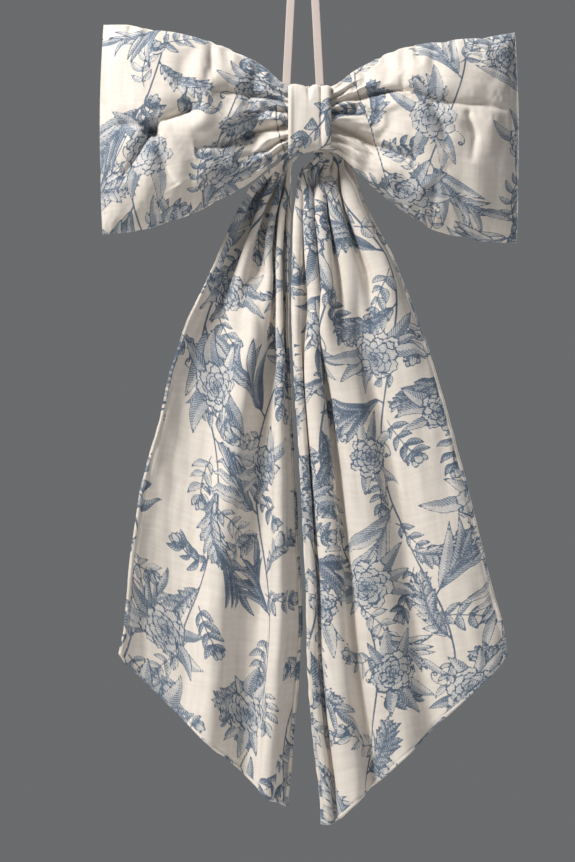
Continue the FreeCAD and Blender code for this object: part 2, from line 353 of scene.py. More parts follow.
def draw_flower(art, rng, x, y, size):
    """A full many-petalled bloom with leaves under two of its sides."""
    turn = rng.uniform(0, TAU)
    for start in (turn, turn + rng.uniform(2.4, 3.6)):
        for i in range(3):
            angle = start + 0.5 * (i - 1) + rng.uniform(-0.1, 0.1)
            length = size * rng.uniform(1.0, 1.45)
            foot = (x + math.cos(angle) * size * 0.2, y + math.sin(angle) * size * 0.2)
            tone = rng.uniform(0.15, 0.55)
            art.leaf(*foot, angle, length, length * 0.3, rng.uniform(-0.14, 0.14), tone, 0.15)
    lean = rng.uniform(-0.06, 0.06) * size
    for ring, (count, length, width, tone) in enumerate(FLOWER_RINGS):
        turn += 0.4
        cx, cy = x + lean * ring * 0.5, y + abs(lean) * ring * 0.3
        for i in range(count):
            angle = turn + TAU * i / count + rng.uniform(-0.14, 0.14)
            long = size * length * rng.uniform(0.88, 1.1)
            art.petal(cx, cy, angle, long, size * width * rng.uniform(0.85, 1.15), tone)
    art.disc(x + lean * 2, y + abs(lean), size * 0.06, 0.8)


def draw_tendril(art, rng, x, y, angle, size):
    """A stalk that winds up at its end."""
    hand = rng.choice((-1, 1))
    points, step, turn = [(x, y)], size / 13, 0.08
    for _ in range(24):
        angle += hand * turn
        turn = min(turn * 1.17, 0.72)
        x += math.cos(angle) * step
        y += math.sin(angle) * step
        step *= 0.95
        points.append((x, y))
    art.stem(points, 0.35, 0.65)


BOLT_WIDTH, BOLT_LENGTH = 1180.0, 640.0  # the printed cloth that every piece is cut from
BRANCH_PITCH, MOTIF_PITCH = 61.0, 37.0
BRANCH_WAVE = 44.0
PRINT_SEED = 23


def draw_bolt():
    """The whole printed cloth: climbing branches in long curves, a motif at each turn, sprigs between."""
    art, rng = Drawing(), np.random.default_rng(PRINT_SEED)
    stations = []
    for i in range(int(BOLT_WIDTH / BRANCH_PITCH) + 1):
        phase, sway = rng.uniform(0, TAU), rng.uniform(13.0, 19.0)
        along = np.arange(-10.0, BOLT_LENGTH + 20.0, 6.0)
        across = 20.0 + i * BRANCH_PITCH + sway * np.sin(along / BRANCH_WAVE + phase)
        art.stem(np.stack([across, along], axis=1), 0.55, 0.75)
        hand = 1
        for j in range(int(BOLT_LENGTH / MOTIF_PITCH) + 1):
            y = (j + 0.5 * (i % 2) + rng.uniform(-0.12, 0.12)) * MOTIF_PITCH
            x = float(np.interp(y, along, across))
            slope = math.atan2(1.0, sway / BRANCH_WAVE * math.cos(y / BRANCH_WAVE + phase))
            stations.append((x, y, slope, hand, (3 * i + 2 * j) % 7))
            hand = -hand
    for x, y, slope, hand, kind in stations:
        draw_sprig(art, rng, x, y + 14.0, slope - hand * rng.uniform(0.6, 1.0), rng.uniform(26.0, 36.0))
        if kind in (1, 4):
            draw_tendril(art, rng, x, y - 8.0, slope + hand * 1.2, rng.uniform(24.0, 34.0))
    for x, y, slope, hand, kind in stations:
        angle = slope + hand * rng.uniform(0.5, 0.95) + (math.pi if rng.uniform() < 0.35 else 0.0)
        if kind in (2, 5):
            draw_plume(art, rng, x, y, angle, rng.uniform(40.0, 50.0))
        elif kind in (0, 3, 6):
            draw_frond(art, rng, x, y, angle, rng.uniform(44.0, 62.0))
    for x, y, slope, hand, kind in stations:
        if kind in (1, 4):
            draw_flower(art, rng, x + hand * 12.0, y, rng.uniform(22.0, 29.0))
    return art


bolt = draw_bolt()


# ---------------------------------------------------------------- materials


def add_node(tree, kind, inputs=None, **settings):
    """A node with its settings, and each named input given a value or joined to a socket or a signal."""
    node = tree.nodes.new(kind)
    for name, value in settings.items():
        setattr(node, name, value)
    for name, value in (inputs or {}).items():
        value = getattr(value, "socket", value)
        if isinstance(value, bpy.types.NodeSocket):
            tree.links.new(value, node.inputs[name])
        else:
            node.inputs[name].default_value = value
    return node


class Signal:
    """A shader value that adds and multiplies like a number."""

    def __init__(self, tree, socket):
        self.tree, self.socket = tree, socket

    def math(self, operation, *others, clamp=False):
        values = dict(enumerate((self, *others)))
        node = add_node(self.tree, "ShaderNodeMath", values, operation=operation, use_clamp=clamp)
        return Signal(self.tree, node.outputs[0])

    def __add__(self, other):
        return self.math("ADD", other)

    def __sub__(self, other):
        return self.math("SUBTRACT", other)

    def __mul__(self, other):
        return self.math("MULTIPLY", other)

    def clamped(self):
        return self.math("ADD", 0.0, clamp=True)

    def ramp(self, low, high, to_low=0.0, to_high=1.0):
        """An easy curve from to_low at low to to_high at high."""
        values = {"Value": self, "From Min": low, "From Max": high, "To Min": to_low, "To Max": to_high}
        node = add_node(self.tree, "ShaderNodeMapRange", values, interpolation_type="SMOOTHSTEP")
        return Signal(self.tree, node.outputs["Result"])


def blend_colours(tree, factor, a, b):
    """Colour a where factor is 0 and b where it is 1; each is a socket or a colour."""
    a, b = [(*colour, 1.0) if isinstance(colour, tuple) else colour for colour in (a, b)]
    return add_node(tree, "ShaderNodeMix", {0: factor, 6: a, 7: b}, data_type="RGBA").outputs[2]


def noise(tree, vector, scale, detail=2.0, stretch=(1.0, 1.0, 1.0)):
    """Noise over a vector, drawn out by stretch."""
    place = add_node(tree, "ShaderNodeMapping", {"Scale": stretch, "Vector": vector}).outputs["Vector"]
    node = add_node(tree, "ShaderNodeTexNoise", {"Scale": scale, "Detail": detail, "Vector": place})
    return Signal(tree, node.outputs["Fac"])


def new_group(name, inputs, outputs):
    """An empty shader group with named sockets: (name, kind, default)."""
    tree = bpy.data.node_groups.new(name, "ShaderNodeTree")
    for label, kind, default in inputs:
        socket = tree.interface.new_socket(label, in_out="INPUT", socket_type=kind)
        if default is not None:
            socket.default_value = default
    for label, kind in outputs:
        tree.interface.new_socket(label, in_out="OUTPUT", socket_type=kind)
    return tree, tree.nodes.new("NodeGroupInput"), tree.nodes.new("NodeGroupOutput")


def build_weave():
    """Plain weave with uneven yarn: a height for bump and a soft shade for colour."""
    inputs = (
        ("Vector", "NodeSocketVector", None),
        ("Yarns per metre", "NodeSocketFloat", 1500.0),
        ("Slub", "NodeSocketFloat", 1.0),
    )
    outputs = (("Height", "NodeSocketFloat"), ("Shade", "NodeSocketFloat"))
    tree, given, out = new_group("woven_linen", inputs, outputs)
    vector = given.outputs["Vector"]
    split = add_node(tree, "ShaderNodeSeparateXYZ", {0: vector})
    count = Signal(tree, given.outputs["Yarns per metre"]) * TAU
    x, y = Signal(tree, split.outputs[0]), Signal(tree, split.outputs[1])
    warp, weft = (x * count).math("SINE"), (y * count).math("SINE")
    crossing = (warp * weft) * 0.5
    slub_x = noise(tree, vector, 260.0, 3.0, (1.0, 0.09, 1.0))
    slub_y = noise(tree, vector, 300.0, 3.0, (0.08, 1.0, 1.0))
    slub = (slub_x + slub_y - 1.0) * Signal(tree, given.outputs["Slub"])
    fuzz = noise(tree, vector, 900.0, 2.0)
    height = crossing * 0.25 + slub * 0.9 + fuzz * 0.25
    shade = slub * 0.85 + (fuzz - 0.5) * 0.35
    tree.links.new(height.socket, out.inputs["Height"])
    tree.links.new(shade.socket, out.inputs["Shade"])
    return tree


def build_print():
    """The engraving's ink from the cloth's stored values: how much cloth it covers and how dark it is."""
    outputs = (("Cover", "NodeSocketFloat"), ("Depth", "NodeSocketFloat"))
    inputs = (("Vector", "NodeSocketVector", None),)
    tree, given, out = new_group("toile_ink", inputs, outputs)
    stored = add_node(tree, "ShaderNodeAttribute", attribute_name="Ink")
    split = add_node(tree, "ShaderNodeSeparateColor", {0: stored.outputs["Color"]})
    edge, line, tone = [Signal(tree, split.outputs[i]) for i in range(3)]
    phase = Signal(tree, stored.outputs["Alpha"])
    grain = noise(tree, given.outputs["Vector"], 650.0, 2.0)
    wash = noise(tree, given.outputs["Vector"], 55.0, 3.0)
    inside = (edge + (grain - 0.5) * 0.5).ramp(-0.1, 0.35, 1.0, 0.0)
    outline = (line + (grain - 0.5) * 0.5).ramp(0.2, 0.62, 1.0, 0.0)
    strokes = (phase.math("SINE") * 0.5 + tone - 0.45).ramp(-0.22, 0.22)
    body = tone * 0.62 + strokes * 0.3 + (wash - 0.5) * 0.7
    depth = body.math("MAXIMUM", outline * 0.85) + (grain - 0.5) * 0.5
    cover = (depth * 1.4 + 0.2).clamped() * inside
    tree.links.new(cover.socket, out.inputs["Cover"])
    tree.links.new(depth.clamped().socket, out.inputs["Depth"])
    return tree


weave_group = build_weave()
print_group = build_print()

CREAM = (0.78, 0.725, 0.66)
CREAM_SHADE = (0.60, 0.53, 0.465)
PALE_BLUE = (0.28, 0.35, 0.43)
SLATE = (0.036, 0.066, 0.118)
RIBBON_PINK = (0.66, 0.57, 0.53)
RIBBON_SHADE = (0.55, 0.46, 0.42)
YARN_HEIGHT = 0.0006


def fabric(name, base, dark, yarns, slub=1.0, printed=False, roughness=0.9, bump=0.35, source="uv"):
    """A woven cloth material: weave and slub on the flat cloth, and the floral print where it is printed."""
    material = bpy.data.materials.new(name)
    material.use_nodes = True
    tree = material.node_tree
    shader = tree.nodes["Principled BSDF"]
    if source == "uv":
        vector = add_node(tree, "ShaderNodeUVMap", uv_map="Cloth").outputs["UV"]
    else:
        vector = tree.nodes.new("ShaderNodeTexCoord").outputs["Object"]
    yarn = {"Yarns per metre": yarns, "Slub": slub, "Vector": vector}
    weave = add_node(tree, "ShaderNodeGroup", yarn, node_tree=weave_group)
    shade = Signal(tree, weave.outputs["Shade"])
    colour = blend_colours(tree, (shade + 0.35).clamped(), base, dark)
    if printed:
        ink = add_node(tree, "ShaderNodeGroup", {"Vector": vector}, node_tree=print_group)
        depth, cover = Signal(tree, ink.outputs["Depth"]), Signal(tree, ink.outputs["Cover"])
        blue = blend_colours(tree, (depth + shade * 0.3).clamped(), PALE_BLUE, SLATE)
        colour = blend_colours(tree, cover * 0.96, colour, blue)
    tree.links.new(colour, shader.inputs["Base Color"])
    shader.inputs["Roughness"].default_value = roughness
    shader.inputs["Specular IOR Level"].default_value = 0.25
    shader.inputs["Sheen Weight"].default_value = 0.15
    shader.inputs["Sheen Roughness"].default_value = 0.5
    yarn_relief = {"Strength": bump, "Distance": YARN_HEIGHT, "Height": weave.outputs["Height"]}
    relief = add_node(tree, "ShaderNodeBump", yarn_relief)
    tree.links.new(relief.outputs["Normal"], shader.inputs["Normal"])
    return material


printed_linen = fabric("printed_linen", CREAM, CREAM_SHADE, 1500.0, printed=True)
RIBBON_LOOK = {"slub": 0.4, "roughness": 0.5, "bump": 0.15}
ribbon_satin = fabric("ribbon_satin", RIBBON_PINK, RIBBON_SHADE, 3000.0, **RIBBON_LOOK)
ribbon_plain = fabric("ribbon_plain", RIBBON_PINK, RIBBON_SHADE, 3000.0, source="object", **RIBBON_LOOK)
THREAD_LIGHT, THREAD_SHADE = (0.80, 0.75, 0.66), (0.62, 0.56, 0.47)
thread_cotton = fabric("thread_cotton", THREAD_LIGHT, THREAD_SHADE, 4000.0, slub=0.6, source="object")
FIBRE_LIGHT, FIBRE_SHADE = (0.88, 0.88, 0.86), (0.78, 0.78, 0.76)
wadding_fibre = fabric("wadding_fibre", FIBRE_LIGHT, FIBRE_SHADE, 900.0, slub=1.4, source="object")


# ---------------------------------------------------------------- camera and light

VIEW_MIDDLE = (-11.6, -359.0)  # across and up, in millimetres
VIEW_HEIGHT = 646.5
CAMERA_AWAY = 2200.0
SENSOR = 36.0

camera_data = bpy.data.cameras.new("camera")
camera_data.sensor_width = SENSOR
camera_data.lens = SENSOR * CAMERA_AWAY / VIEW_HEIGHT
camera_data.clip_start = 0.05
camera = bpy.data.objects.new("camera", camera_data)
camera.location = (VIEW_MIDDLE[0] * MM, -CAMERA_AWAY * MM, VIEW_MIDDLE[1] * MM)
camera.rotation_euler = (math.radians(90), 0, 0)
bpy.context.scene.collection.objects.link(camera)
bpy.context.scene.camera = camera
bpy.context.scene.view_settings.view_transform = "Standard"


def area_light(name, place, target, size, power, colour):
    """A soft lamp at place, turned to target."""
    data = bpy.data.lights.new(name, "AREA")
    data.shape = "DISK"
    data.size = size
    data.energy = power
    data.color = colour
    lamp = bpy.data.objects.new(name, data)
    lamp.location = place
    lamp.rotation_euler = (Vector(target) - Vector(place)).to_track_quat("-Z", "Y").to_euler()
    bpy.context.scene.collection.objects.link(lamp)


area_light("key", (-1.15, -0.85, 1.0), (0, 0, -0.3), 0.42, 52.0, (1.0, 0.98, 0.955))
area_light("fill", (1.3, -1.5, -0.4), (0, 0, -0.35), 1.0, 4.0, (0.93, 0.96, 1.0))
area_light("rim", (0.7, 1.2, 0.6), (0, 0, -0.3), 0.9, 26.0, (1.0, 1.0, 1.0))

world = bpy.data.worlds.new("studio")
world.use_nodes = True
backdrop = world.node_tree.nodes["Background"].inputs
backdrop["Color"].default_value = (0.50, 0.51, 0.53, 1.0)
backdrop["Strength"].default_value = 0.29
bpy.context.scene.world = world

FLOOR_RADIUS, FLOOR_LEVEL, FLOOR_SIDES = 1000.0, -900.0, 64
floor_turns = [TAU * i / FLOOR_SIDES for i in range(FLOOR_SIDES)]
floor = mesh_object(
    "floor",
    [(FLOOR_RADIUS * math.cos(turn), FLOOR_RADIUS * math.sin(turn), FLOOR_LEVEL) for turn in floor_turns],
    [list(range(FLOOR_SIDES))],
)
floor_paint = bpy.data.materials.new("floor_paint")
floor_paint.use_nodes = True
floor_look = floor_paint.node_tree.nodes["Principled BSDF"].inputs
floor_look["Base Color"].default_value = (0.72, 0.71, 0.69, 1.0)
floor_look["Roughness"].default_value = 0.8
floor.data.materials.append(floor_paint)


# ---------------------------------------------------------------- the hanging ribbon

RIBBON_WIDTH = 6.0
RIBBON_THICK = 0.5
RIBBON_FOOT = -102.9
RIBBON_SIDES = 20
UNPRINTED = 5000.0  # off the printed bolt
# The ribbon's route over its hook, from the left foot to the right one.
RIBBON_ROUTE = (
    (-12.6, RIBBON_FOOT),
    (-9.2, -36.0),
    (-7.7, -11.0),
    (-7.4, 0.3),
    (7.4, 0.3),
    (7.7, -11.0),
    (9.3, -36.0),
    (12.8, RIBBON_FOOT),
)


def spline_points(route, samples=24):
    """Points along the smooth line that a route's points control."""
    curve = bpy.data.curves.new("route", "CURVE")
    curve.dimensions = "3D"
    spline = curve.splines.new("NURBS")
    spline.points.add(len(route) - 1)
    for point, (x, z) in zip(spline.points, route):
        point.co = (x * MM, 0.0, z * MM, 1.0)
    spline.order_u = 3
    spline.use_endpoint_u = True
    curve.resolution_u = samples
    carrier = bpy.data.objects.new("route", curve)
    mesh = bpy.data.meshes.new_from_object(carrier)
    line = np.array([v.co for v in mesh.vertices]) / MM
    bpy.data.objects.remove(carrier)
    bpy.data.meshes.remove(mesh)
    return line


def flat_ribbon(name, line, turn, material):
    """A thin ribbon along a line in X and Z. turn is 0 where its face looks forwards and 1 where it faces the
    line's own bend. Gives the piece and its length."""
    along = np.gradient(line, axis=0)
    along /= np.linalg.norm(along, axis=1, keepdims=True)
    front = np.array([0.0, -1.0, 0.0])
    angle = (turn * math.pi / 2)[:, None]
    across = np.cross(along, front) * np.cos(angle) + front * np.sin(angle)
    facing = np.cross(across, along)
    around = TAU * (np.arange(RIBBON_SIDES) + 0.5) / RIBBON_SIDES
    wide, deep = rounded(np.cos(around), 0.35), rounded(np.sin(around), 0.8)
    offsets = [across * w * RIBBON_WIDTH / 2 + facing * d * RIBBON_THICK / 2 for w, d in zip(wide, deep)]
    points = np.stack([line + offset for offset in offsets], axis=1)
    rows = len(line)
    index = np.arange(rows * RIBBON_SIDES).reshape(rows, RIBBON_SIDES)
    faces = grid_faces(np.concatenate([index, index[:, :1]], axis=1))
    faces += [index[0, ::-1].tolist(), index[-1].tolist()]
    step = np.linalg.norm(np.diff(line, axis=0), axis=1)
    run = np.concatenate([[0], np.cumsum(step)])
    over = np.tile(wide * RIBBON_WIDTH / 2, (rows, 1))
    cloth = np.stack([over, run[:, None].repeat(RIBBON_SIDES, 1)], axis=2)
    obj = mesh_object(name, points.reshape(-1, 3), faces, cloth.reshape(-1, 2) - UNPRINTED, material)
    return obj, run[-1]


ribbon_line = spline_points(RIBBON_ROUTE)
ribbon_turn = smooth(-26.0, -9.0, ribbon_line[:, 2])
hanging_ribbon, ribbon_length = flat_ribbon("hanging_ribbon", ribbon_line, ribbon_turn, ribbon_satin)
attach(hanging_ribbon, "ribbon")
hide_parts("hanging_ribbon")


# ---------------------------------------------------------------- the tails


def fold_solve(wave, ratio):
    """How far each row's folds must turn for its cloth to fit: mean cosine of the turned wave equals ratio."""
    low, high = np.zeros(len(ratio)), np.full(len(ratio), 2.35)
    for _ in range(26):
        mid = (low + high) / 2
        wide = np.cos(mid[:, None] * wave).mean(axis=1) > ratio
        low, high = np.where(wide, mid, low), np.where(wide, high, mid)
    return (low + high)[:, None] / 2


def fold_wave(inward, ridges, shift, sharp, crowd, calm):
    """Side-to-side lean of pleated cloth across its width, 0 at the inner edge and 1 at the outer one: broad
    ridges and narrow valleys, crowded towards the inner edge by crowd and calmer at the outer by calm."""
    phase = TAU * (ridges * inward**crowd + shift)
    strength = 1 - calm * smooth(0.1, 0.9, inward)
    return -strength * np.sin(phase + sharp * np.sin(phase))


TAIL_THICK = 0.55
ROLLED_EDGE = 2.6  # the back layer shows this far round onto the front at the sewn edges
BACK_CUT = (360.0, 0.0)  # how far along the printed bolt the back layers are cut from the front ones
TAIL_COLUMNS, TAIL_ROWS = 161, 465
TAIL_TOP = -134.9


def tail_grid(spec, columns, rows):
    """A tail's hanging surface and its flat cloth, row by row from the gathered top to the slanted end."""
    share = np.linspace(0, 1, columns)[None, :]
    end = spec["outer_length"] + (spec["inner_length"] - spec["outer_length"]) * share
    if spec["side"] > 0:
        end = end[:, ::-1]
    level = np.linspace(0, 1, rows)[:, None]
    down = level * end  # cloth length from the top along each thread
    widening = spec["end_width"] - spec["top_width"]
    flat_width = spec["top_width"] + widening * np.clip(down / 400, 0, 1.2) ** 0.9
    drop_line = np.linspace(-TAIL_TOP - 2, 680, 1400)
    edges = [[(-z, x) for x, z in spec[edge]] for edge in ("outer", "inner")]
    outer, inner = [curve_through(edge, drop_line, 6) for edge in edges]
    left_line, right_line = (outer, inner) if spec["side"] < 0 else (inner, outer)
    depth = level * 500
    inward = share if spec["side"] > 0 else 1 - share
    waves = [fold_wave(inward, *fold) for fold in spec["folds"]]
    gather = smooth(12, 60, depth)
    spread = smooth(70, 210, depth)
    wave = waves[0] * (1 - gather) + gather * (waves[1] * (1 - spread) + waves[2] * spread)
    z = np.full((rows, columns), TAIL_TOP)
    x, y = np.zeros_like(z), np.zeros_like(z)
    for r in range(rows):
        if r:
            step = down[r] - down[r - 1]
            lean_x = x[r - 1] - (x[r - 2] if r > 1 else x[r - 1])
            lean_y = y[r - 1] - (y[r - 2] if r > 1 else y[r - 1])
            drop = np.sqrt(np.maximum(step**2 - lean_x**2 - lean_y**2, (0.55 * step) ** 2))
            z[r] = z[r - 1] - drop
        left = np.interp(-z[r, 0], drop_line, left_line)
        width = np.interp(-z[r, -1], drop_line, right_line) - left
        cloth_width = flat_width[r].mean()
        turn = fold_solve(wave[r : r + 1], np.array([min(0.995, width / cloth_width)]))[0]
        lean = turn * wave[r]
        run, dip = np.cumsum(np.cos(lean)), np.cumsum(np.sin(lean))
        run = (run - run.min()) / (run.max() - run.min())
        dip = dip - dip[0]
        x[r] = left + width * run
        y[r] = (dip - dip[-1] * share[0]) * cloth_width / columns
    hem = np.interp(x[-1], [p[0] for p in spec["hem"]], [p[1] for p in spec["hem"]])
    corner = np.abs(x[-1] - spec["hem"][0 if spec["side"] < 0 else -1][0])
    hem = hem + 3.0 * smooth(7, 0, corner)
    z += (hem - z[-1])[None, :] * smooth(0.55, 1.0, level)
    flat = np.stack([(share - 0.5) * flat_width, down], axis=2)
    return x, y, z, flat


LEFT_TAIL = {
    "side": -1,
    "outer_length": 420.0,
    "inner_length": 514.0,
    "top_width": 92.0,
    "end_width": 158.0,
    "plane": 12.0,
    "bolt": (110.0, 40.0),
    "hem": ((-140.0, -529.0), (-97.0, -571.5), (-24.0, -637.5), (-13.0, -642.0)),
    "folds": ((6.5, 0.0, 0.0, 1.0, 0.0), (4.0, 0.1, 0.5, 0.9, 0.1), (2.6, 0.3, 0.55, 0.7, 0.55)),
    "outer": (
        (-13, -134), (-13.5, -150), (-17, -157), (-40, -176), (-54, -203), (-66, -231), (-88, -277.5),
        (-100, -313.5),
        (-108, -351), (-116, -377), (-123, -405), (-130, -451), (-135, -508), (-139.5, -529), (-142, -560),
    ),
    "inner": (
        (1, -134), (0, -147), (-7.5, -154), (-10.0, -160), (-10.2, -170), (-9.8, -182), (-10.6, -205),
        (-11.3, -238), (-11.4, -290), (-8.9, -340), (-5.5, -400),
        (-1.4, -486), (-0.9, -508), (-3.4, -547.5), (-6.75, -585), (-11.25, -640), (-13, -680),
    ),
}
RIGHT_TAIL = {
    "side": 1,
    "outer_length": 420.0,
    "inner_length": 532.0,
    "top_width": 100.0,
    "end_width": 170.0,
    "plane": 8.9,
    "bolt": (290.0, 30.0),
    "hem": ((13.5, -655.0), (23.0, -655.5), (78.0, -603.5), (154.5, -530.0)),
    "folds": ((7.5, 0.0, 0.0, 1.0, 0.0), (5.0, 0.05, 0.5, 0.85, 0.1), (3.7, 0.1, 0.6, 0.6, 0.6)),
    "outer": (
        (23, -134), (26, -146), (33, -151), (46, -187.5), (54.75, -204), (67.5, -226), (80, -258), (94, -295),
        (108, -342), (121, -391), (130, -427.5), (141, -474), (151, -508.5), (154, -530), (157, -560),
    ),
    "inner": (
        (9, -134), (10, -150), (9.5, -155), (-2.3, -166.5), (-4.5, -184.5), (-6.4, -200), (-7.6, -238),
        (-7.4, -290),
        (-4.4, -345), (-0.6, -410), (3.0, -486), (3.75, -541), (6.75, -585), (12, -629), (14, -655),
        (15, -680),
    ),
}


def tail(name, spec):
    """Front and back layer of one tail, gathered at the neck and sewn edge to edge."""
    x, y, z, flat = tail_grid(spec, TAIL_COLUMNS, TAIL_ROWS)
    base = spec["plane"] + y
    u, v = flat[..., 0], flat[..., 1]
    loose = smooth(40, 160, v)
    base += loose * 0.9 * ripples(u, v, 5 + spec["side"], 9, 22, 70, 3.5)
    base += loose * 0.35 * ripples(u, v, 9 + spec["side"], 12, 9, 24, 2.0)
    grid = np.stack([x, base, z], axis=2)
    side_step, down_step = spec["end_width"] / TAIL_COLUMNS, spec["inner_length"] / TAIL_ROWS
    across = np.minimum(np.arange(TAIL_COLUMNS), np.arange(TAIL_COLUMNS)[::-1])[None, :] * side_step
    up = np.arange(TAIL_ROWS)[::-1][:, None] * down_step
    edge = np.minimum(across, up)
    rim = smooth(60, 110, v)
    puff = np.sqrt(np.clip(edge / 4.0, 0, 1)) * 0.55 + 0.05
    puff += rim * (0.35 * ridge(edge, 1.3, 1.0) - 0.5 * ridge(edge, 3.4, 0.9))
    pucker = 0.32 * ripples(u, v, 15 + spec["side"], 10, 8, 18, 1.0) * np.exp(-edge / 8.0) * rim
    normal = normals_of(grid)
    grid += normal * pucker[..., None]
    facing = np.sign((normal[..., 1]).mean())
    rolled = ((edge < ROLLED_EDGE) & (v > 90))[..., None]
    front_cut = flat + np.array(spec["bolt"])
    back_cut = front_cut + BACK_CUT
    layers = (
        ("front", -1, np.where(rolled, back_cut, front_cut), (f"{name}_head",)),
        ("back", 1, back_cut, ()),
    )
    for layer, side, cut, also in layers:
        surface = grid + normal * facing * side * (puff + TAIL_THICK)[..., None]
        piece = cloth_slab(f"{name}_{layer}", surface, cut, TAIL_THICK, printed_linen, facing * side)
        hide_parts(f"{name}_{layer}", *also)
        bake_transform(piece)


tail("left_tail", LEFT_TAIL)
tail("right_tail", RIGHT_TAIL)


# ---------------------------------------------------------------- the bow body

WAIST_X, WAIST_Y = 4.9, -11.7
BOW_TOP = (
    (-150.0, -56.3), (-132.0, -55.0), (-113.0, -56.2), (-95.0, -59.6), (-77.0, -64.5), (-58.0, -71.5),
    (-40.0, -80.0),
    (-26.0, -89.5), (-16.0, -99.0), (-8.0, -103.0), (18.0, -103.0), (25.0, -100.5), (35.0, -92.0),
    (49.0, -83.0),
    (65.0, -75.0), (80.0, -70.3), (95.0, -67.3), (114.0, -65.0), (133.0, -64.3), (159.0, -62.0),
)
BOW_BOTTOM = (
    (-147.0, -209.5), (-130.0, -208.5), (-114.0, -206.0), (-99.0, -202.5), (-82.0, -196.5), (-66.0, -189.6),
    (-52.0, -182.0), (-39.0, -173.5), (-26.0, -162.5), (-16.0, -153.0), (-8.0, -149.5), (18.0, -149.5),
    (25.0, -151.5), (32.0, -157.0), (42.0, -167.5), (54.0, -178.5), (67.0, -190.0), (80.0, -199.3),
    (95.0, -207.0),
    (110.0, -212.0), (133.0, -215.8), (158.0, -216.0),
)
BOW_ENDS = (-149.5, 159.4)
END_BULGE = 2.2
# Creases of the pinched cloth, as (across, up) points from the knot outwards, then how deep and wide each is.
CREASES = (
    (((-11, -112), (-36, -109), (-68, -107)), 8.0, 6.0),
    (((-11, -130), (-34, -136), (-58, -145), (-80, -149)), 13.0, 7.5),
    (((-11, -119), (-28, -121), (-46, -126)), 5.0, 4.5),
    (((-11, -140), (-30, -150), (-52, -156)), 6.0, 5.5),
    (((-84, -121), (-104, -129), (-116, -137)), 8.0, 8.5),
    (((-112, -136), (-121, -152), (-134, -172)), 6.5, 6.0),
    (((-109, -138), (-103, -158), (-93, -176)), 6.5, 6.0),
    (((-113, -134), (-130, -131), (-146, -134)), 4.5, 6.5),
    (((-11, -106), (-30, -96), (-52, -88)), 4.0, 6.0),
    (((20, -112), (50, -109), (74, -106), (101, -116), (130, -117), (158, -121)), 9.0, 5.5),
    (((20, -132), (38, -138), (63, -149), (80, -157), (92, -173)), 13.0, 6.5),
    (((20, -121), (38, -124), (58, -129)), 5.5, 4.5),
    (((20, -142), (34, -156), (50, -171), (72, -184)), 7.0, 5.5),
    (((20, -106), (34, -99), (52, -92)), 4.0, 5.0),
    (((122, -124), (127, -140), (124, -160)), 4.0, 7.5),
    (((96, -118), (104, -134), (106, -152)), 3.0, 6.0),
)


def crease_depth(x, z):
    """How far the creases pull the cloth in at each place, deepest at their start."""
    total = np.zeros_like(x)
    for points, deep, wide in CREASES:
        steps = np.hypot(*np.diff(np.array(points, float), axis=0).T)
        run = np.concatenate([[0], np.cumsum(steps)])
        best = np.full_like(x, 1e9)
        share = np.zeros_like(x)
        for i, ((ax, az), (bx, bz)) in enumerate(zip(points[:-1], points[1:])):
            dx, dz = bx - ax, bz - az
            t = np.clip(((x - ax) * dx + (z - az) * dz) / (dx * dx + dz * dz), 0, 1)
            gap = np.hypot(x - ax - t * dx, z - az - t * dz)
            nearer = gap < best
            best = np.where(nearer, gap, best)
            share = np.where(nearer, (run[i] + t * steps[i]) / run[-1], share)
        width = wide * (0.75 + 0.5 * share)
        valley = 0.72 * np.exp(-(np.sqrt(best**2 + 0.8**2) - 0.8) / width) + 0.28 * ridge(best, 0, 2.4)
        total += 1.3 * deep * (1 - share) ** 0.5 * (valley - 0.2 * ridge(best, 1.9 * width, width))
    return total


def eased(count):
    """Steps from 0 to 1 that are closer together near both ends."""
    even = np.linspace(0, 1, count)
    return 0.5 * even + 0.25 * (1 - np.cos(math.pi * even))


